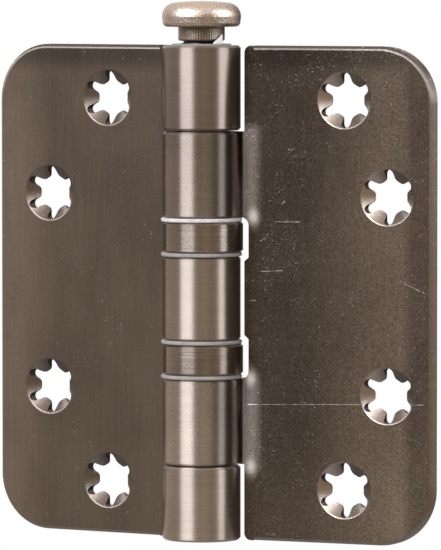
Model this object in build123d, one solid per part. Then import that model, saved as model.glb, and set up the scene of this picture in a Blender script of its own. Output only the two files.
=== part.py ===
from build123d import *

import os
from math import asin, atan2, cos, degrees, radians, sin, sqrt, tan

# Washered butt hinge with radius corners and a lift-out pin.
# Millimetres. Z is the pin axis, pointing up, and the origin lies on it at half the leaves' height.
# The left leaf lies flat along -X, and both leaves have their countersunk faces towards -Y.
# The right leaf is folded a little further back than flat.

# Leaves
leaf_height = 102.0
leaf_width = 50.5  # from the pin axis to the free edge
leaf_thickness = 3.0
leaf_setback = 1.5  # from the pin axis back to the countersunk face
corner_radius = 11.5
edge_roll = 0.9  # the press rounds the countersunk face's outer edge
fold_past_flat = 7.3  # degrees

# Barrel: a rolled curl of the leaf's own sheet, swaged back so that its face lies near the pin axis
barrel_radius = 8.1
swage_radius = 10.5  # inside the bend, on the back of the leaf
curl_tip_angle = -3.0  # degrees from the leaf's own direction, where the curl's tip stops
knuckle_gap = 0.3
knuckle_end_bevel = 0.45
end_knuckle_height = 16.4  # of an evenly set barrel
middle_knuckle_height = 17.2
barrel_drop = 1.0  # the joints and washers between the knuckles are set this far below even

# Clearance cut in each leaf for the other leaf's knuckles and for the washers
knuckle_relief = 0.8
washer_relief = 1.6
relief_margin = 0.6  # how far the washer relief runs on beside the knuckle
relief_corner = 1.6
step_share = 0.45  # bevels where the two cuts meet, as a share of the step between them
leaf_end_corner = 1.5

# Screw holes: a countersink pierced by radial slots, which leaves petals between them
screw_end_margin = 11.05  # from the leaf's end to the nearer row
screw_row_pitch = 19.65
left_edge_margin = 12.3  # from the left leaf's free edge to its outer column
left_column_pitch = 14.4
left_inner_drop = 0.45  # the left leaf's two inner holes sit this far below even
right_edge_margin = 9.8
right_column_pitch = 9.5
countersink_radius = 5.8
countersink_rim = 0.25  # width of the rim's broken edge
hole_radius = 3.45
countersink_angle = 90.0
slot_count = 6
slot_width = 1.9
slot_reach = 5.75
petal_round = 0.95
breakout_depth = 0.6  # the punch breaks out at the back, so the star widens there
breakout_flare = 0.4

# Washers: a loose steel ring between the flanges of two nylon bushes
flange_proud = 0.25  # how far the flanges stand out from the barrel
flange_thickness = 0.78
ring_inset = 0.05  # the ring is a little smaller than the flanges
ring_height = 6.25
ring_edge_bevel = 0.4
ring_play = 0.05  # above and below the ring
ring_bore_clearance = 0.4
ring_shift = 0.3  # how far the loose ring hangs to one side
ring_shift_angle = 30.0  # degrees from +X
washer_play = 0.05
bush_sleeve_length = 7.0
flange_edge_bevel = 0.2

# Nylon sleeves in the knuckles
liner_wall = 0.9
liner_fit = 0.05
liner_flange_width = 1.05
liner_flange_thickness = 0.35

# Pin
pin_fit = 0.05
collar_step = 0.7  # how far the knurled collar stands out from the shaft
collar_length = 2.9
collar_lead_round = 0.45  # rounds the collar's foot, to lead it into its seat
groove_depth = 0.35  # undercut below the collar
groove_height = 0.45
collar_seat_depth = 3.1
head_radius = 8.15
head_height = 5.3
head_crown = 0.3  # rise of the flat dome inside the shoulder
head_shoulder_round = 2.9
head_foot_round = 1.0
head_foot_lean = 0.12  # the side leans in this far towards the foot
pin_lift = 3.5  # the pin stands this far above its seat
pin_tip_recess = 0.5
pin_tip_chamfer = 0.8

# Sizes that follow
bore_radius = barrel_radius - leaf_thickness
liner_radius = bore_radius - liner_fit
liner_bore_radius = liner_radius - liner_wall
shaft_radius = liner_bore_radius - pin_fit
collar_radius = shaft_radius + collar_step
liner_flange_radius = liner_radius + liner_flange_width
flange_radius = barrel_radius + flange_proud
ring_radius = flange_radius - ring_inset
ring_bore_radius = shaft_radius + ring_bore_clearance
washer_height = ring_height + 2 * (flange_thickness + ring_play)
leaf_end = leaf_height / 2
even_joint = leaf_end - end_knuckle_height - knuckle_gap / 2
upper_joint = even_joint - barrel_drop
lower_joint = -even_joint - barrel_drop
middle_top = middle_knuckle_height / 2 - barrel_drop
middle_foot = -middle_knuckle_height / 2 - barrel_drop
washer_room = washer_height + 2 * washer_play
upper_washer = middle_top + washer_room / 2
lower_washer = middle_foot - washer_room / 2

# Lower and upper end of each knuckle, from the top of the barrel down
top_knuckle = (upper_joint + knuckle_gap / 2, leaf_end)
upper_knuckle = (middle_top + washer_room, upper_joint - knuckle_gap / 2)
middle_knuckle = (middle_foot, middle_top)
lower_knuckle = (lower_joint + knuckle_gap / 2, middle_foot - washer_room)
bottom_knuckle = (-leaf_end, lower_joint - knuckle_gap / 2)
left_knuckles = (top_knuckle, middle_knuckle, bottom_knuckle)
right_knuckles = (upper_knuckle, lower_knuckle)

# The swage bend is a round whose centre sits behind the leaf and touches the barrel from outside
leaf_back = leaf_setback + leaf_thickness
bend_centre_y = leaf_back + swage_radius
bend_centre_x = sqrt((barrel_radius + swage_radius) ** 2 - bend_centre_y**2)
bend_angle = degrees(asin(bend_centre_y / (barrel_radius + swage_radius)))
curl_sweep = 360 + curl_tip_angle - bend_angle
same_place = 1e-4  # closer than this, two coordinates are the same
cut_through = 1.0  # how far a cutter runs on past the sheet


def spans_between(knuckles):
    """The stretches of the leaf's height that hold none of its own knuckles."""
    ends = [leaf_end]
    for low, high in knuckles:
        ends += [high, low]
    ends.append(-leaf_end)
    return [(low, high) for high, low in zip(ends[0::2], ends[1::2]) if high > low]


def rolled_section():
    """Cross-section of a leaf: flat plate, swage bend, then the curl round the pin."""
    bend_sweep = 90 - bend_angle
    bend_centre = (bend_centre_x, bend_centre_y)
    with BuildSketch() as section:
        with BuildLine():
            outer = CenterArc((0, 0), barrel_radius, bend_angle, curl_sweep)
            inner = CenterArc((0, 0), bore_radius, bend_angle, curl_sweep)
            Line(outer @ 1, inner @ 1)
            hollow = CenterArc(bend_centre, swage_radius, 180 + bend_angle, bend_sweep)
            crown = CenterArc(bend_centre, swage_radius + leaf_thickness, 180 + bend_angle, bend_sweep)
            Polyline(hollow @ 1, (leaf_width, leaf_back), (leaf_width, leaf_setback), crown @ 1)
        make_face()
    return section.sketch


def rims_of(shape, radius):
    """The circular edges of one radius."""
    circles = shape.edges().filter_by(GeomType.CIRCLE)
    return [edge for edge in circles if abs(edge.radius - radius) < same_place]


def corners_at(sketch, x, levels):
    """The corners of an outline that lie at one distance from the pin axis and at given heights."""
    return [
        v
        for v in sketch.vertices()
        if abs(v.X - x) < same_place and any(abs(v.Y - level) < same_place for level in levels)
    ]


def blank_outline(knuckles):
    """Face-on outline of a leaf, with clearance beside the other leaf's knuckles and the washers."""
    far_side = -2 * barrel_radius
    knuckle_edge = barrel_radius + knuckle_relief
    washer_edge = ring_radius + washer_relief
    washer_reach = washer_height / 2 + washer_play + relief_margin
    outline = Rectangle(leaf_width - far_side, leaf_height).moved(
        Location(((leaf_width + far_side) / 2, 0))
    )
    outline = fillet(corners_at(outline, leaf_width, (-leaf_end, leaf_end)), corner_radius)
    step_levels = []
    span_ends = []
    for low, high in spans_between(knuckles):
        outline -= relief(low, high, far_side, knuckle_edge)
        for centre in (lower_washer, upper_washer):
            bottom = max(low, centre - washer_reach)
            top = min(high, centre + washer_reach)
            if top > bottom:
                outline -= relief(bottom, top, far_side, washer_edge)
                step_levels += [level for level in (bottom, top) if level not in (low, high)]
                span_ends += [level for level in (bottom, top) if level in (low, high)]
    step_slope = step_share * (washer_edge - knuckle_edge)
    for x, levels, cut, size in (
        (washer_edge, span_ends, fillet, relief_corner),
        (washer_edge, step_levels, chamfer, step_slope),
        (knuckle_edge, step_levels, chamfer, step_slope),
        (knuckle_edge, (-leaf_end, leaf_end), fillet, leaf_end_corner),
    ):
        corners = corners_at(outline, x, levels)
        if corners:
            outline = cut(corners, size)
    return outline


def relief(low, high, near, far):
    """A rectangle between two heights and two distances from the pin axis."""
    return Rectangle(far - near, high - low).moved(Location(((near + far) / 2, (low + high) / 2)))


def screw_hole():
    """Cutter for one screw hole: a countersink opening down into a round hole with radial slots."""
    slot_start = 180 / slot_count
    star = Circle(hole_radius)
    for place in PolarLocations(slot_reach / 2, slot_count, slot_start):
        star += place * SlotOverall(slot_reach, slot_width)
    petal_corners = [v for v in star.vertices() if abs(hole_radius - v.center().length) < same_place]
    star = fillet(petal_corners, petal_round)
    flare_angle = degrees(atan2(breakout_flare, breakout_depth))
    breakout = extrude(star, amount=breakout_depth, taper=-flare_angle)
    breakout = Pos(0, 0, leaf_thickness - breakout_depth) * breakout
    slope = tan(radians(countersink_angle / 2))
    depth = (countersink_radius - hole_radius) / slope
    rim_depth = countersink_rim / 2 / slope
    low_end = (Align.CENTER, Align.CENTER, Align.MIN)
    cone = Cone(countersink_radius, hole_radius, depth, align=low_end)
    rim_inside = countersink_radius - countersink_rim / 2
    rim_outside = countersink_radius + countersink_rim / 2
    rim = Cone(rim_outside, rim_inside, rim_depth, align=low_end)
    return extrude(star, amount=leaf_thickness + cut_through) + cone + rim + breakout


def screw_places(edge_margin, column_pitch, inner_drop=0.0):
    """Distance from the pin axis and height of each screw hole in a leaf."""
    end_row = leaf_end - screw_end_margin
    inner_row = end_row - screw_row_pitch
    outer_column = leaf_width - edge_margin
    inner_column = outer_column - column_pitch
    return [
        (inner_column, end_row),
        (outer_column, inner_row - inner_drop),
        (outer_column, -inner_row - inner_drop),
        (inner_column, -end_row),
    ]


def end_beveller(level, side):
    """Cutter that breaks the outer edge of a knuckle's end, side +1 for its top and -1 for its foot."""
    inset = barrel_radius - knuckle_end_bevel
    corner = Polygon(
        (inset, level),
        (barrel_radius, level - side * knuckle_end_bevel),
        (barrel_radius + knuckle_end_bevel, level - side * knuckle_end_bevel),
        (barrel_radius + knuckle_end_bevel, level + side * knuckle_end_bevel),
        (inset, level + side * knuckle_end_bevel),
        align=None,
    )
    return revolve(Plane.XZ * corner, Axis.Z, curl_sweep).rotate(Axis.Z, bend_angle)


def edge_roller():
    """Cutter that rounds the outer edge of the countersunk face, from the bend round to the bend again."""
    straight_end = leaf_width - corner_radius
    corner_start = leaf_end - corner_radius
    with BuildLine(Plane.XZ.offset(-leaf_setback)) as edge:
        Line((bend_centre_x, leaf_end), (straight_end, leaf_end))
        CenterArc((straight_end, corner_start), corner_radius, 90, -90)
        Line((leaf_width, corner_start), (leaf_width, -corner_start))
        CenterArc((straight_end, -corner_start), corner_radius, 0, -90)
        Line((straight_end, -leaf_end), (bend_centre_x, -leaf_end))
    across = Plane(origin=(bend_centre_x, leaf_setback, leaf_end), x_dir=(0, 0, 1), z_dir=(1, 0, 0))
    waste = Rectangle(2 * edge_roll, 2 * edge_roll) - Pos(-edge_roll, -edge_roll) * Circle(edge_roll)
    return sweep(across * waste, edge.line)


def leaf(knuckles, screws):
    """One leaf along +X: sheet cut to its outline, pierced, countersunk and curled round the pin."""
    rolled = extrude(rolled_section(), amount=leaf_end, both=True)
    blank = extrude(Plane.XZ * blank_outline(knuckles), amount=2 * barrel_radius, both=True)
    body = (rolled & blank) - edge_roller()
    cutter = screw_hole()
    for x, level in screws:
        into_leaf = Plane(origin=(x, leaf_setback, level), x_dir=(1, 0, 0), z_dir=(0, 1, 0))
        body -= into_leaf * cutter
    for low, high in knuckles:
        body -= end_beveller(high, 1)
        body -= end_beveller(low, -1)
    return body


def turned(points):
    """A piece turned on the lathe about the pin axis, from its half-profile of radius and height."""
    with BuildPart() as piece:
        with BuildSketch(Plane.XZ):
            with BuildLine():
                Polyline(*points, close=True)
            make_face()
        revolve(axis=Axis.Z)
    return piece.part


def flanged_bush(flange_r, flange_t, sleeve_length):
    """Nylon top-hat bush with its flange's free face at height 0 and its sleeve pointing down."""
    return turned(
        [
            (liner_bore_radius, 0),
            (flange_r, 0),
            (flange_r, -flange_t),
            (liner_radius, -flange_t),
            (liner_radius, -flange_t - sleeve_length),
            (liner_bore_radius, -flange_t - sleeve_length),
        ]
    )


def washer_bush(centre, side):
    """Bush of a washer set, side +1 for the one above the ring and -1 for the one below."""
    bush = flanged_bush(flange_radius, flange_thickness, bush_sleeve_length)
    bush = chamfer(rims_of(bush, flange_radius), flange_edge_bevel)
    face = ring_height / 2 + ring_play
    if side > 0:
        bush = mirror(bush, about=Plane.XY)
    return Pos(0, 0, centre + side * face) * bush


def steel_ring(centre):
    """Loose steel ring between two flanges, hanging a little to one side."""
    half = ring_height / 2
    ring = turned(
        [(ring_bore_radius, -half), (ring_radius, -half), (ring_radius, half), (ring_bore_radius, half)]
    )
    ring = chamfer(rims_of(ring, ring_radius), ring_edge_bevel)
    angle = radians(ring_shift_angle)
    return Pos(ring_shift * cos(angle), ring_shift * sin(angle), centre) * ring


def top_liner():
    """Nylon liner of the top knuckle, with a thin flange on the steel and a seat for the pin's collar."""
    low, high = top_knuckle
    liner = flanged_bush(liner_flange_radius, liner_flange_thickness, high - low)
    seat = Cylinder(
        collar_radius + pin_fit,
        collar_seat_depth,
        align=(Align.CENTER, Align.CENTER, Align.MAX),
    )
    return Pos(0, 0, leaf_end + liner_flange_thickness) * (liner - seat)


def bottom_liner():
    """Plain nylon liner of the bottom knuckle."""
    low, high = bottom_knuckle
    return turned(
        [(liner_bore_radius, low), (liner_radius, low), (liner_radius, high), (liner_bore_radius, high)]
    )


def pin():
    """Pin with a mushroom head and a short collar, standing a little above its seat."""
    seat = leaf_end + liner_flange_thickness
    tip = -leaf_end + pin_tip_recess - seat
    shoulder_centre = (head_radius - head_shoulder_round, head_height - head_crown - head_shoulder_round)
    foot_centre = (head_radius - head_foot_lean - head_foot_round, head_foot_round)
    lead_centre = (collar_radius - collar_lead_round, collar_lead_round - collar_length)
    groove_radius = shaft_radius - groove_depth
    groove_foot = collar_length + groove_height
    with BuildPart() as piece:
        with BuildSketch(Plane.XZ):
            with BuildLine():
                shoulder = CenterArc(shoulder_centre, head_shoulder_round, 0, 90)
                foot = CenterArc(foot_centre, head_foot_round, 0, -90)
                TangentArc((0, head_height), shoulder @ 1, tangent=(1, 0))
                Line(shoulder @ 0, foot @ 0)
                lead = CenterArc(lead_centre, collar_lead_round, 0, -90)
                Polyline(foot @ 1, (collar_radius, 0), lead @ 0)
                Polyline(
                    lead @ 1,
                    (groove_radius, -collar_length),
                    (groove_radius, -groove_foot),
                    (shaft_radius, -groove_foot),
                    (shaft_radius, tip + pin_tip_chamfer),
                    (shaft_radius - pin_tip_chamfer, tip),
                    (0, tip),
                    (0, head_height),
                )
            make_face()
        revolve(axis=Axis.Z)
    return Pos(0, 0, seat + pin_lift) * piece.part


left_screws = screw_places(left_edge_margin, left_column_pitch, left_inner_drop)
right_screws = screw_places(right_edge_margin, right_column_pitch)
left_leaf = leaf(left_knuckles, left_screws)
right_leaf = leaf(right_knuckles, right_screws)

parts = {
    "left_leaf": mirror(left_leaf, about=Plane.YZ),
    "right_leaf": right_leaf.rotate(Axis.Z, fold_past_flat),
    "pin": pin(),
    "top_liner": top_liner(),
    "bottom_liner": bottom_liner(),
}
for name, centre in (("upper_washer", upper_washer), ("lower_washer", lower_washer)):
    parts[name + "_top_bush"] = washer_bush(centre, 1)
    parts[name + "_ring"] = steel_ring(centre)
    parts[name + "_bottom_bush"] = washer_bush(centre, -1)

os.makedirs("parts", exist_ok=True)
for name, shape in parts.items():
    export_step(shape, f"parts/{name}.step")
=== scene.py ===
from math import cos, pi, radians, sin

import bpy
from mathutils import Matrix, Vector


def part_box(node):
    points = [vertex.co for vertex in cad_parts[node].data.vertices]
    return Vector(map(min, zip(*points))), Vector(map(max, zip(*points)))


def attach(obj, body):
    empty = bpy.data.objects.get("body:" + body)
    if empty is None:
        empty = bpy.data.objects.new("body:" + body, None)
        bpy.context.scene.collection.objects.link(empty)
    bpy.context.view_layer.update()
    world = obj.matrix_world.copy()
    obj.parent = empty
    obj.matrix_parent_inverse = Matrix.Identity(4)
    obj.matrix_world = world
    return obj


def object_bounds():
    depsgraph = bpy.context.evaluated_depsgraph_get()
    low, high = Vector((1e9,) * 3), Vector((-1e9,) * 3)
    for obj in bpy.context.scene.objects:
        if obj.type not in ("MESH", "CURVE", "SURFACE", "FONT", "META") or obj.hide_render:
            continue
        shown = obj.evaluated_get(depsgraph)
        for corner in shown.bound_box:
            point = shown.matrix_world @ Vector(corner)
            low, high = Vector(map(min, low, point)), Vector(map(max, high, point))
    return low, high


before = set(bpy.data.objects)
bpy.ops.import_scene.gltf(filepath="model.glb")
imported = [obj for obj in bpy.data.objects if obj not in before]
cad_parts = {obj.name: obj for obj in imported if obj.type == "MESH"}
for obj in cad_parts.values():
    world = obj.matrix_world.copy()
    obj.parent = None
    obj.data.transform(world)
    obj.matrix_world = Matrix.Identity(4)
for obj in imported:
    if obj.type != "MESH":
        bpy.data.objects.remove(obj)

bpy.ops.object.select_all(action="DESELECT")
cad_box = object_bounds()

# The two leaves: 3 mm stainless sheet, blanked, pierced and curled round the pin.
# The plates are brushed up and down, and the curls are brushed round.
# The right leaf stands folded a little past flat, so its pattern is turned with it.
per_mm = 1000.0
fold_past_flat = radians(7.3)
steel_colour = (0.34, 0.288, 0.252, 1)
bare_and_glint_colour = (0.86, 0.82, 0.78, 1)  # where the satin is scratched through, and painted glints on the nicks and on the pressed dents
barrel_edge = 8.3  # mm from the pin axis
plate_edge = 9.4
bend_end = 13.5
leaf_edge = 48.0
plate_top = 51.0
corner_middle = (39.0, 0.0, 39.5)  # of the plate's round corners
corner_radius = 11.5
edge_shade = 0.62  # painted shade along the plates' edges, at the top and, on the right leaf, at the outer side
shadow_rise = (radians(-56), radians(-42))  # round the curl, where the painted shade on its side towards its own plate begins
shadow_fall = (radians(-10), radians(-20))  # and where it ends
steel_roughness = 0.35
roughness_spread = 0.03
cut_roughness = 0.5  # of the edges and countersinks, which are not brushed
bare_and_glint_roughness = 0.7
steel_anisotropy = 0.93
noise_span = (0.3, 0.7)  # nearly all of a noise's values lie between these
# painted shade on the walls of the countersinks' slots
slot_shade = 0.25
border_top_shade = 0.38  # painted shade on the plate's outer edge where it faces up
coarse_nicks = (1.9, 0.11)  # cells per mm, and the largest nick's radius in mm
fine_nicks = (4.3, 0.055)
coarse_nick_share = 0.7  # of the fine ones' share
scratch_width = 0.14

# Scratches on the right leaf: distance from the pin axis and height of each end, in mm
scratches = [
    ((9.8, -22.9), (34.9, -22.15)),
    ((46.3, -21.95), (48.7, -21.8)),
    ((12.6, 10.8), (14.4, 12.4)),
    ((12.8, 4.6), (17.5, 4.9)),
    ((18.8, 29.8), (20.4, 29.9)),
    ((17.4, 18.6), (18.0, 19.1)),
    ((16.0, 14.9), (21.3, 14.95)),
    ((43.6, 3.2), (48.9, 0.9)),
    ((10.0, -1.4), (11.7, -1.4)),
]

# Painted highlights on the small dents pressed at the ends of the right leaf's bends
pressed_highlights = [(11.1, 15.4), (10.3, -16.9), (10.4, -36.4)]
pressed_highlight_radius = 2.0
pressed_highlight_strength = 0.6
pressed_highlight_squeeze = 0.6  # heights are squeezed this far, which makes the spots longer up and down

# Heights between which the right leaf is bent into its knuckles
bend_rows = [(15.0, 34.4), (-36.6, -16.6)]
bend_row_fade = 1.5


def add(tree, kind, wires=None, **settings):
    """A shader node with its own settings, and its inputs by name or number, each a value or a socket."""
    node = tree.nodes.new("ShaderNode" + kind)
    for name, value in settings.items():
        setattr(node, name, value)
    for name, value in (wires or {}).items():
        if isinstance(value, bpy.types.NodeSocket):
            tree.links.new(value, node.inputs[name])
        else:
            node.inputs[name].default_value = value
    return node


def sum_up(tree, operation, *values):
    """The result of one step of arithmetic."""
    return add(tree, "Math", dict(enumerate(values)), operation=operation).outputs[0]


def vector_step(tree, operation, first, second, output="Vector"):
    """The result of one step on two vectors."""
    return add(tree, "VectorMath", {0: first, 1: second}, operation=operation).outputs[output]


def ramp_between(tree, value, low, high, start=0.0, end=1.0):
    """value, carried smoothly from low..high to start..end."""
    wires = {"Value": value, "From Min": low, "From Max": high, "To Min": start, "To Max": end}
    return add(tree, "MapRange", wires, interpolation_type="SMOOTHSTEP").outputs["Result"]


def mixed(tree, share, first, second, data_type="FLOAT"):
    """first where share is 0, second where it is 1."""
    pair = {"FLOAT": (2, 3), "VECTOR": (4, 5), "RGBA": (6, 7)}[data_type]
    node = add(tree, "Mix", {0: share, pair[0]: first, pair[1]: second}, data_type=data_type)
    return node.outputs[{"FLOAT": 0, "VECTOR": 1, "RGBA": 2}[data_type]]


def noise(tree, place, stretch, detail=2.0, roughness=0.6):
    """Noise stretched along the axes, in cycles per millimetre."""
    spread = add(tree, "Mapping", {"Vector": place, "Scale": stretch}).outputs["Vector"]
    wires = {"Vector": spread, "Scale": 1.0, "Detail": detail, "Roughness": roughness}
    return add(tree, "TexNoise", wires).outputs["Fac"]


def shaded(tree, colour, shade):
    """A colour made lighter or darker."""
    return add(tree, "VectorMath", {0: colour[:3], "Scale": shade}, operation="SCALE").outputs[0]


def new_material(name):
    """An empty material, its node tree and its shader."""
    material = bpy.data.materials.new(name)
    material.use_nodes = True
    tree = material.node_tree
    return material, tree, tree.nodes["Principled BSDF"]


def millimetres(tree, turn=0.0):
    """Places on the piece in millimetres, turned back about the pin axis."""
    here = add(tree, "TexCoord").outputs["Object"]
    wires = {"Vector": here, "Rotation": (0, 0, -turn), "Scale": (per_mm, per_mm, per_mm)}
    return add(tree, "Mapping", wires).outputs["Vector"]


def nicks(tree, place, cells_per_mm, share, size):
    """Small round nicks, one in some of the cells, of uneven size, which carry painted glints."""
    cells = add(tree, "TexVoronoi", {"Vector": place, "Scale": cells_per_mm})
    chance = add(tree, "SeparateColor", {0: cells.outputs["Color"]}).outputs[0]
    crowd = ramp_between(tree, noise(tree, place, (0.25, 0.25, 0.25)), 0.35, 0.6, 0.45, 1.0)
    chance = sum_up(tree, "MULTIPLY", chance, crowd)
    reach = ramp_between(tree, chance, 1 - share, 1.0, 0.0, size * cells_per_mm)
    return sum_up(tree, "LESS_THAN", cells.outputs["Distance"], reach)


def scratch(tree, place, start, end, patches):
    """A broken scratch between two places on a leaf's face."""
    first = Vector((start[0], 0, start[1]))
    run = Vector((end[0], 0, end[1])) - first
    offset = vector_step(tree, "SUBTRACT", place, first)
    offset = vector_step(tree, "MULTIPLY", offset, (1, 0, 1))
    along = vector_step(tree, "DOT_PRODUCT", offset, run.normalized(), "Value")
    along = sum_up(tree, "MINIMUM", sum_up(tree, "MAXIMUM", along, 0.0), run.length)
    wires = {0: run.normalized(), "Scale": along}
    nearest = add(tree, "VectorMath", wires, operation="SCALE").outputs[0]
    gap = vector_step(tree, "DISTANCE", offset, nearest, "Value")
    width = ramp_between(tree, patches, 0.4, 0.58, 0.2 * scratch_width, scratch_width)
    return ramp_between(tree, sum_up(tree, "DIVIDE", gap, width), 1.0, 0.3)


def bare_and_glint_marks(tree, place, on_plate, nick_share, marks, spots):
    """Scratches where the satin is gone, painted glints on the nicks of the plate, and painted highlights on
    the pressed dents.
    """
    coarse = nicks(tree, place, coarse_nicks[0], coarse_nick_share * nick_share, coarse_nicks[1])
    fine = nicks(tree, place, fine_nicks[0], nick_share, fine_nicks[1])
    bare_and_glint = sum_up(tree, "MULTIPLY", sum_up(tree, "MAXIMUM", coarse, fine), on_plate)
    patches = noise(tree, place, (1.3, 1.3, 1.3), 2.0)
    for start, end in marks:
        bare_and_glint = sum_up(tree, "MAXIMUM", bare_and_glint, scratch(tree, place, start, end, patches))
    for reach, height in spots:
        offset = vector_step(tree, "SUBTRACT", place, (reach, 0, height))
        offset = vector_step(tree, "MULTIPLY", offset, (1, 0, pressed_highlight_squeeze))
        gap = vector_step(tree, "DISTANCE", offset, (0, 0, 0), "Value")
        pressed_highlight = ramp_between(tree, gap, pressed_highlight_radius, 0.0, 0.0, pressed_highlight_strength)
        bare_and_glint = sum_up(tree, "MAXIMUM", bare_and_glint, pressed_highlight)
    return bare_and_glint


def plate_border(tree, place):
    """1 along the plate's outer edge with its round corners, 0 inside it."""
    corner = vector_step(tree, "ABSOLUTE", place, (0, 0, 0))
    corner = vector_step(tree, "SUBTRACT", corner, corner_middle)
    corner = vector_step(tree, "MAXIMUM", corner, (0, 0, 0))
    corner = vector_step(tree, "MULTIPLY", corner, (1, 0, 1))
    corner = vector_step(tree, "DISTANCE", corner, (0, 0, 0), "Value")
    return ramp_between(tree, corner, corner_radius - 1.6, corner_radius - 1.2)


def cut_face_light_and_shade(tree, place, facing, cut_bright):
    """Painted light and shade of the faces that are cut and not brushed."""
    countersink = ramp_between(tree, facing["X"], -0.5, 0.6, 0.5, cut_bright)
    on_wall = ramp_between(tree, sum_up(tree, "ABSOLUTE", facing["Y"]), 0.5, 0.3)
    hole = mixed(tree, on_wall, countersink, slot_shade)
    border = mixed(tree, ramp_between(tree, facing["Z"], 0.0, 0.35), 1.0, border_top_shade)
    return mixed(tree, plate_border(tree, place), hole, border)


def matte_bends(tree, height, reach, rows):
    """1 at the root of each bend into a knuckle, which is stretched matt, 0 outside the bends."""
    matte = 0.0
    for low, high in rows:
        above_foot = ramp_between(tree, height, low - bend_row_fade, low + bend_row_fade)
        below_top = ramp_between(tree, height, high + bend_row_fade, high - bend_row_fade)
        matte = sum_up(tree, "ADD", matte, sum_up(tree, "MULTIPLY", above_foot, below_top))
    return sum_up(tree, "MULTIPLY", matte, ramp_between(tree, reach, bend_end, plate_edge + 1))


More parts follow.
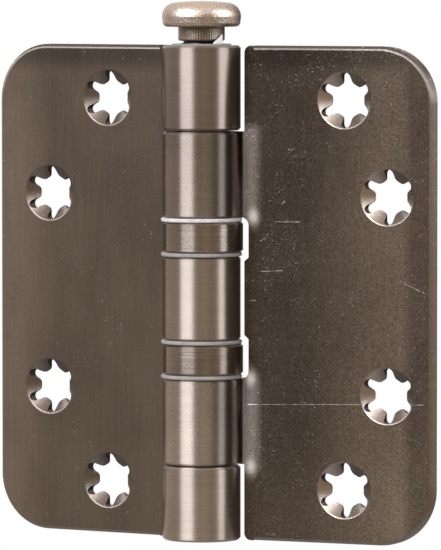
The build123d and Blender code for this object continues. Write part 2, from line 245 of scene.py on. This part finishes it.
def brushed_steel(name, turn=0.0, barrel_tones_and_light=(1.0, 1.0), plate_light_tones=(1.0, 1.0), plate_span=(20, 46),
                  side_shade=0.0, low_painted_light=1.0, shadowed_side=1.0, cut_bright=1.0, matte_rows=(),
                  roughness=steel_roughness, line_depth=0.01, grain_depth=0.12, nick_share=0.3,
                  marks=(), spots=()):
    """Satin steel, brushed up and down on the flat and round on the curl."""
    material, tree, shader = new_material(name)
    place = millimetres(tree, turn)
    axes = add(tree, "SeparateXYZ", {0: place})
    height = axes.outputs["Z"]
    reach = vector_step(tree, "MULTIPLY", place, (1, 1, 0))
    reach = vector_step(tree, "DISTANCE", reach, (0, 0, 0), "Value")
    on_plate = ramp_between(tree, reach, barrel_edge, plate_edge)

    # Tone, which is painted light and shade: the curl from top to bottom, with painted shade on its side
    # towards its own plate, and the plate from the bend outwards, with painted shade along its edges and
    # painted light low down
    barrel_tone_and_light = ramp_between(tree, height, plate_top, -plate_top, *barrel_tones_and_light)
    angle = sum_up(tree, "ARCTAN2", axes.outputs["Y"], axes.outputs["X"])
    shadowed = ramp_between(tree, angle, *shadow_rise)
    shadowed = sum_up(tree, "MULTIPLY", shadowed, ramp_between(tree, angle, *shadow_fall))
    barrel_tone_and_light = sum_up(tree, "MULTIPLY", barrel_tone_and_light, mixed(tree, shadowed, 1.0, shadowed_side))
    plate_painted_light = ramp_between(tree, reach, *plate_span, *plate_light_tones)
    by_top = ramp_between(tree, height, plate_top - 6.5, plate_top - 2.5)
    by_side = ramp_between(tree, reach, leaf_edge - 4.5, leaf_edge - 1.5, 0.0, side_shade)
    by_edge = mixed(tree, sum_up(tree, "MAXIMUM", by_top, by_side), 1.0, edge_shade)
    low_down = ramp_between(tree, height, -15.0, -45.0, 1.0, low_painted_light)
    plate_painted_light = sum_up(tree, "MULTIPLY", sum_up(tree, "MULTIPLY", plate_painted_light, by_edge), low_down)
    tone_and_light = mixed(tree, on_plate, barrel_tone_and_light, plate_painted_light)

    # Pattern: brushing lines, grain and clouds
    round_lines = noise(tree, place, (0.1, 0.1, 9.0))
    upright_lines = noise(tree, place, (7.0, 7.0, 0.1))
    lines = mixed(tree, on_plate, round_lines, upright_lines)
    grain = noise(tree, place, (3.6, 3.6, 3.6), 4.0, 0.8)
    clouds = noise(tree, place, (0.06, 0.06, 0.04), 2.0)
    shade = ramp_between(tree, lines, *noise_span, 0.92, 1.08)
    grain_depth = mixed(tree, on_plate, 0.5 * grain_depth, grain_depth)
    grain_shade = sum_up(tree, "MULTIPLY", ramp_between(tree, grain, *noise_span, -1.0, 1.0), grain_depth)
    shade = sum_up(tree, "ADD", shade, grain_shade)
    shade = sum_up(tree, "ADD", shade, ramp_between(tree, clouds, *noise_span, -0.1, 0.1))
    shade = sum_up(tree, "MULTIPLY", shade, tone_and_light)

    # Painted light and shade on the cut faces: the countersinks brighter on one side and dark in their slots,
    # and the border darker on top
    wires = {"Vector": add(tree, "TexCoord").outputs["Normal"], "Rotation": (0, 0, -turn)}
    facing = add(tree, "Mapping", wires).outputs["Vector"]
    facing = add(tree, "SeparateXYZ", {0: facing}).outputs
    cut = ramp_between(tree, sum_up(tree, "ABSOLUTE", facing["Y"]), 0.985, 0.93)
    cut = sum_up(tree, "MULTIPLY", cut, on_plate)
    cut_grain = ramp_between(tree, grain, *noise_span, 0.85, 1.15)
    cut_tone = sum_up(tree, "MULTIPLY", cut_grain, cut_face_light_and_shade(tree, place, facing, cut_bright))
    shade = mixed(tree, cut, shade, cut_tone)
    # The scratches are bare metal; the nicks carry painted glints, and the pressed dents painted highlights
    bare_and_glint = bare_and_glint_marks(tree, place, on_plate, nick_share, marks, spots)
    colour = mixed(tree, bare_and_glint, shaded(tree, steel_colour, shade), bare_and_glint_colour, "RGBA")
    tree.links.new(colour, shader.inputs["Base Color"])

    # Finish: metal apart from the matt bends, rougher where it is cut, scratched or painted with glints, and
    # brushed along the tangent
    matte = sum_up(tree, "MULTIPLY", matte_bends(tree, height, reach, matte_rows), on_plate)
    tree.links.new(mixed(tree, matte, 1.0, 0.0), shader.inputs["Metallic"])
    smoothest, roughest = roughness - roughness_spread, roughness + roughness_spread
    roughness = ramp_between(tree, lines, *noise_span, smoothest, roughest)
    roughness = mixed(tree, cut, roughness, cut_roughness)
    roughness = mixed(tree, bare_and_glint, roughness, bare_and_glint_roughness)
    tree.links.new(roughness, shader.inputs["Roughness"])
    shader.inputs["Anisotropic"].default_value = steel_anisotropy
    wires = {"Height": sum_up(tree, "ADD", lines, grain), "Strength": 0.2, "Distance": line_depth / per_mm}
    tree.links.new(add(tree, "Bump", wires).outputs[0], shader.inputs["Normal"])
    upright = add(tree, "VectorTransform", {"Vector": (0, 0, 1)}, vector_type="VECTOR",
                  convert_from="OBJECT", convert_to="WORLD").outputs[0]
    normal = add(tree, "NewGeometry").outputs["Normal"]
    level = vector_step(tree, "CROSS_PRODUCT", upright, normal)
    tree.links.new(mixed(tree, on_plate, upright, level, "VECTOR"), shader.inputs["Tangent"])
    return material


def finish_node(node, material):
    """A CAD piece keeps its mesh and takes a material."""
    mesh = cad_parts[node].data
    mesh.materials.clear()
    mesh.materials.append(material)


left_finish = dict(barrel_tones_and_light=(0.78, 1.2), plate_light_tones=(0.77, 1.08), plate_span=(36, 48), nick_share=0.2)
right_finish = dict(barrel_tones_and_light=(0.75, 1.4), plate_light_tones=(0.45, 1.03), side_shade=1.0, low_painted_light=1.3,
                    shadowed_side=0.45, cut_bright=1.8, matte_rows=bend_rows, grain_depth=0.45,
                    nick_share=0.85, marks=scratches, spots=pressed_highlights)
finish_node("left_leaf", brushed_steel("left_leaf_steel", **left_finish))
finish_node("right_leaf", brushed_steel("right_leaf_steel", fold_past_flat, **right_finish))

# The loose steel rings of the washer sets, turned and brushed round.
# They are shinier than the leaves, and their brushing is shallower.
ring_finish = dict(barrel_tones_and_light=(0.88, 0.88), roughness=0.25, line_depth=0.003, grain_depth=0.2)
for ring in ("upper_washer_ring", "lower_washer_ring"):
    finish_node(ring, brushed_steel(ring + "_steel", **ring_finish))

# The nylon bushes and liners, moulded in natural nylon.
# Their flanges show as thin pale lines above and below each ring, and on top of the barrel.
# All but the one above the upper ring are darkened with painted shade.
unshaded_nylon_colour = (0.48, 0.47, 0.467, 1)
nylon_in_shade_colour = (0.25, 0.235, 0.225, 1)
nylon_roughness = 0.65
nylon_gloss = 0.3
unshaded_pieces = ("upper_washer_top_bush",)


def moulded_nylon(name, nylon_colour):
    """Natural nylon, a little cloudy."""
    material, tree, shader = new_material(name)
    clouds = noise(tree, millimetres(tree), (0.6, 0.6, 0.6))
    shade = ramp_between(tree, clouds, *noise_span, 0.9, 1.08)
    tree.links.new(shaded(tree, nylon_colour, shade), shader.inputs["Base Color"])
    shader.inputs["Roughness"].default_value = nylon_roughness
    shader.inputs["Specular IOR Level"].default_value = nylon_gloss
    return material


unshaded_nylon = moulded_nylon("unshaded_nylon", unshaded_nylon_colour)
nylon_in_shade = moulded_nylon("nylon_in_shade", nylon_in_shade_colour)
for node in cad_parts:
    if node.endswith("liner") or node.endswith("bush"):
        finish_node(node, unshaded_nylon if node in unshaded_pieces else nylon_in_shade)

# A shaving of nylon that the pin's collar has scraped up out of the top liner.
# It stands on the liner's flange against the collar, towards the right leaf, and leans to a point.
shaving_radius = 5.2
shaving_thickness = 0.3
shaving_height = 1.9
shaving_foot = 0.25  # its height at its low end
shaving_start = radians(-31)
shaving_sweep = radians(27)
shaving_slope = radians(38)
shaving_rounding = 0.08
shaving_colour = (0.8, 0.8, 0.79, 1)
shaving_roughness = 0.5
liner_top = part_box("top_liner")[1][2] * per_mm


def at_angle(radius, angle, height):
    """A place in metres, from a radius and a height in mm."""
    return Vector((radius * cos(angle), radius * sin(angle), height)) / per_mm


bpy.ops.mesh.primitive_plane_add(size=1 / per_mm)
shaving = bpy.context.object
shaving.name = "nylon_shaving"
bpy.ops.object.mode_set(mode="EDIT")
bpy.ops.mesh.select_all(action="SELECT")
bpy.ops.transform.resize(value=(shaving_thickness, shaving_height, 1))
bpy.ops.transform.rotate(value=-pi / 2, orient_axis="X", center_override=(0, 0, 0))
bpy.ops.transform.translate(value=(shaving_radius / per_mm, 0, (liner_top + shaving_height / 2) / per_mm))
bpy.ops.transform.rotate(value=-shaving_start, orient_axis="Z", center_override=(0, 0, 0))
bpy.ops.mesh.spin(steps=8, angle=-shaving_sweep, center=(0, 0, 0), axis=(0, 0, 1))
bpy.ops.mesh.select_all(action="SELECT")
foot = at_angle(shaving_radius, shaving_start, liner_top + shaving_foot)
middle_angle = shaving_start + shaving_sweep / 2
across = Vector((sin(middle_angle), -cos(middle_angle), 0))
slope_normal = across * sin(shaving_slope) + Vector((0, 0, cos(shaving_slope)))
bpy.ops.mesh.bisect(plane_co=foot, plane_no=slope_normal, use_fill=True, clear_outer=True)
bpy.ops.mesh.select_all(action="SELECT")
bpy.ops.mesh.remove_doubles(threshold=0.01 / per_mm)
bpy.ops.mesh.normals_make_consistent(inside=False)
bpy.ops.object.mode_set(mode="OBJECT")
rounding = shaving.modifiers.new("rounding", "BEVEL")
rounding.width = shaving_rounding / per_mm
rounding.segments = 2
bpy.ops.object.modifier_apply(modifier=rounding.name)
bpy.ops.object.shade_smooth_by_angle(angle=radians(50))
shaving_nylon, tree, shader = new_material("shaving_nylon")
clouds = noise(tree, millimetres(tree), (1.5, 1.5, 1.5))
shade = ramp_between(tree, clouds, *noise_span, 0.9, 1.05)
tree.links.new(shaded(tree, shaving_colour, shade), shader.inputs["Base Color"])
shader.inputs["Roughness"].default_value = shaving_roughness
shaving.data.materials.append(shaving_nylon)
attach(shaving, "left_leaf")
bpy.ops.object.select_all(action="DESELECT")

# The pin, cast with its mushroom head and tumbled, so that it is bright and finely pitted.
# A fine knurl is rolled round the collar below the head, and painted shade from the head darkens the collar,
# most at its top.
pin_colour = (0.55, 0.458, 0.39, 1)
collar_foot = 51.95  # mm above the middle of the leaves
collar_top = 54.8
collar_face = 4.8  # mm from the pin axis
knurl_ridges = 56
knurl_depth = 0.22  # as a share of the pits' depth
pit_depth = 0.07
pits_on_collar = 0.3  # share of the pitting that the knurl has left
groove_shade = 0.06


def cast_steel():
    """Bright cast steel with a fine orange-peel skin, and a knurled band."""
    material, tree, shader = new_material("cast_pin_steel")
    place = millimetres(tree)
    axes = add(tree, "SeparateXYZ", {0: place})
    reach = vector_step(tree, "DISTANCE", vector_step(tree, "MULTIPLY", place, (1, 1, 0)), (0, 0, 0), "Value")
    angle = sum_up(tree, "ARCTAN2", axes.outputs["Y"], axes.outputs["X"])
    height = axes.outputs["Z"]
    below_head = ramp_between(tree, height, collar_top + 0.2, collar_top)
    far_out = ramp_between(tree, reach, collar_face - 0.2, collar_face - 0.1)
    on_collar = sum_up(tree, "MULTIPLY", below_head, far_out)
    below_collar = ramp_between(tree, height, collar_foot + 0.2, collar_foot)
    above_shaft = ramp_between(tree, height, collar_foot - 0.6, collar_foot - 0.5)
    in_groove = sum_up(tree, "MULTIPLY", below_collar, above_shaft)
    ridges = sum_up(tree, "SINE", sum_up(tree, "MULTIPLY", angle, float(knurl_ridges)))
    pits = noise(tree, place, (2.6, 2.6, 2.6), 4.0, 0.8)
    pitting = mixed(tree, on_collar, 1.0, pits_on_collar)
    speckle = ramp_between(tree, pits, *noise_span, -0.24, 0.16)
    speckle = sum_up(tree, "MULTIPLY_ADD", speckle, pitting, 1.0)
    # painted shadow of the head on the collar, darkest just under the head
    head_shadow = ramp_between(tree, height, collar_top, collar_foot, 0.3, 0.62)
    ridge_shade = sum_up(tree, "MULTIPLY", head_shadow, ramp_between(tree, ridges, -1.0, 1.0, 0.65, 1.3))
    shade = sum_up(tree, "MULTIPLY", speckle, mixed(tree, on_collar, 1.0, ridge_shade))
    shade = sum_up(tree, "MULTIPLY", shade, mixed(tree, in_groove, 1.0, groove_shade))
    tree.links.new(shaded(tree, pin_colour, shade), shader.inputs["Base Color"])
    tree.links.new(ramp_between(tree, pits, *noise_span, 0.24, 0.44), shader.inputs["Roughness"])
    knurl_height = sum_up(tree, "MULTIPLY", sum_up(tree, "MULTIPLY", ridges, on_collar), knurl_depth)
    skin = sum_up(tree, "ADD", sum_up(tree, "MULTIPLY", pits, pitting), knurl_height)
    wires = {"Height": skin, "Strength": 0.8, "Distance": pit_depth / per_mm}
    tree.links.new(add(tree, "Bump", wires).outputs[0], shader.inputs["Normal"])
    shader.inputs["Metallic"].default_value = 1.0
    return material


finish_node("pin", cast_steel())

# The studio: a pale floor below the hinge, two soft lamps, and a room that is dimmer behind the camera.
# A narrow dark card stands far behind the hinge and gives the barrel its dark sides.
floor_drop = 0.2
floor_radius = 0.32
floor_middle = 0.12  # inside this radius the floor is plain, and outside it fades into the backdrop
floor_colour = (0.85, 0.85, 0.85, 1)
floor_roughness = 0.9
glossy_share = 0.5  # of the floor's white that the hinge mirrors
lamp_colour = (0.95, 0.99, 1.06)
bpy.ops.mesh.primitive_circle_add(vertices=96, radius=floor_radius, fill_type="NGON",
                                  location=(0, 0, cad_box[0][2] - floor_drop))
floor = bpy.context.object
floor.name = "floor"
floor_paint, tree, shader = new_material("floor_paint")
shader.inputs["Base Color"].default_value = floor_colour
shader.inputs["Roughness"].default_value = floor_roughness
here = add(tree, "TexCoord").outputs["Object"]
from_middle = vector_step(tree, "DISTANCE", here, (0, 0, 0), "Value")
path = add(tree, "LightPath")
glow = mixed(tree, path.outputs["Is Glossy Ray"], 1.0, glossy_share)
white = add(tree, "Emission", {"Color": (1, 1, 1, 1), "Strength": glow}).outputs[0]
faded = ramp_between(tree, from_middle, floor_middle, floor_radius, 0.5, 1.0)
seen = sum_up(tree, "MULTIPLY", path.outputs["Is Camera Ray"], faded)
for kind in ("Is Glossy Ray", "Is Transmission Ray"):
    seen = sum_up(tree, "MAXIMUM", seen, path.outputs[kind])
floor_mix = add(tree, "MixShader", {0: seen, 1: shader.outputs[0], 2: white})
tree.links.new(floor_mix.outputs[0], tree.nodes["Material Output"].inputs["Surface"])
floor.data.materials.append(floor_paint)


def soft_lamp(name, azimuth, elevation, width, height, watts):
    """An area lamp that looks at the hinge, azimuth 0 being straight in front of the left leaf."""
    a, e = radians(azimuth), radians(elevation)
    place = Vector((sin(a) * cos(e), -cos(a) * cos(e), sin(e)))
    lamp = bpy.data.lights.new(name, "AREA")
    lamp.shape = "RECTANGLE"
    lamp.size, lamp.size_y = width, height
    lamp.energy = watts
    lamp.color = lamp_colour
    holder = bpy.data.objects.new(name, lamp)
    holder.location = place
    holder.rotation_euler = (-place).to_track_quat("-Z", "Y").to_euler()
    bpy.context.scene.collection.objects.link(holder)


soft_lamp("left_lamp", -16, 31, 0.66, 0.6, 13.0)
soft_lamp("right_lamp", 102, 24, 0.58, 0.6, 7.2)

world = bpy.data.worlds.new("studio")
world.use_nodes = True
tree = world.node_tree
direction = add(tree, "SeparateXYZ", {0: add(tree, "TexCoord").outputs["Generated"]})
forward = sum_up(tree, "MULTIPLY", direction.outputs["Y"], -1.0)
azimuth = sum_up(tree, "ARCTAN2", direction.outputs["X"], forward)
share = sum_up(tree, "MULTIPLY_ADD", azimuth, 0.5 / pi, 0.5)
golden = (1.0, 0.79, 0.53)
warm = (1.0, 0.87, 0.74)
pale = (1.0, 0.95, 0.89)
card_level = 0.06
overhead_colour = (1.15, 1.04, 0.97, 1)
white_backdrop = (1, 1, 1, 1)
upper_heights = (0.25, 0.6)  # of a direction of length 1, where the level light gives way to the upper
overhead_heights = (0.7, 0.9)


def room_light(stops):
    """The room's light all round at one height, from azimuths in degrees, levels and tints."""
    ring = add(tree, "ValToRGB", {"Fac": share})
    elements = ring.color_ramp.elements
    elements.remove(elements[1])
    for number, (angle, level, tint) in enumerate(stops):
        element = elements.new(angle / 360 + 0.5) if number else elements[0]
        element.position = angle / 360 + 0.5
        element.color = (*(level * c for c in tint), 1)
    return ring.outputs["Color"]


level_light = room_light([
    (-180, card_level, warm), (-168, card_level, warm), (-156, 0.9, pale), (-140, 0.95, pale),
    (-126, 0.75, warm), (-112, 1.0, pale), (-98, 0.62, warm), (-70, 0.55, warm), (-40, 0.42, warm),
    (0, 0.35, warm), (22, 0.36, golden), (40, 0.5, golden), (60, 0.3, golden), (70, 0.34, golden),
    (108, 0.3, golden), (130, 0.6, warm), (152, 0.6, warm), (162, card_level, warm),
    (180, card_level, warm)])
upper_light = room_light([(-180, 0.8, pale), (-150, 1.0, pale), (60, 1.0, pale), (108, 0.7, pale),
                          (180, 0.8, pale)])
raised = ramp_between(tree, direction.outputs["Z"], *upper_heights)
room = mixed(tree, raised, level_light, upper_light, "RGBA")
overhead = ramp_between(tree, direction.outputs["Z"], *overhead_heights)
room = mixed(tree, overhead, room, overhead_colour, "RGBA")
seen = add(tree, "LightPath").outputs["Is Camera Ray"]
backdrop = mixed(tree, seen, room, white_backdrop, "RGBA")
tree.links.new(backdrop, tree.nodes["Background"].inputs["Color"])
bpy.context.scene.world = world

# The camera, to the right of the hinge and a little above it, with a long lens as in the photograph.
# Its lens is shifted, because the photograph was cropped off its optical centre.
long_side = 550  # pixels of the 441 x 550 frame
focus = 5805.27
middle = (220.5, 275.0)
optical_centre = (217.14, 302.05)
eye = bpy.data.cameras.new("camera")
eye.sensor_width = 36.0
eye.lens = focus / long_side * eye.sensor_width
eye.shift_x = (middle[0] - optical_centre[0]) / long_side
eye.shift_y = (optical_centre[1] - middle[1]) / long_side
eye.clip_end = 100.0
camera = bpy.data.objects.new("camera", eye)
camera.location = (0.6197, -1.02283, 0.06932)
camera.rotation_euler = (radians(86.591), 0, radians(31.056))
bpy.context.scene.collection.objects.link(camera)
bpy.context.scene.camera = camera
bpy.context.scene.view_settings.view_transform = "Standard"
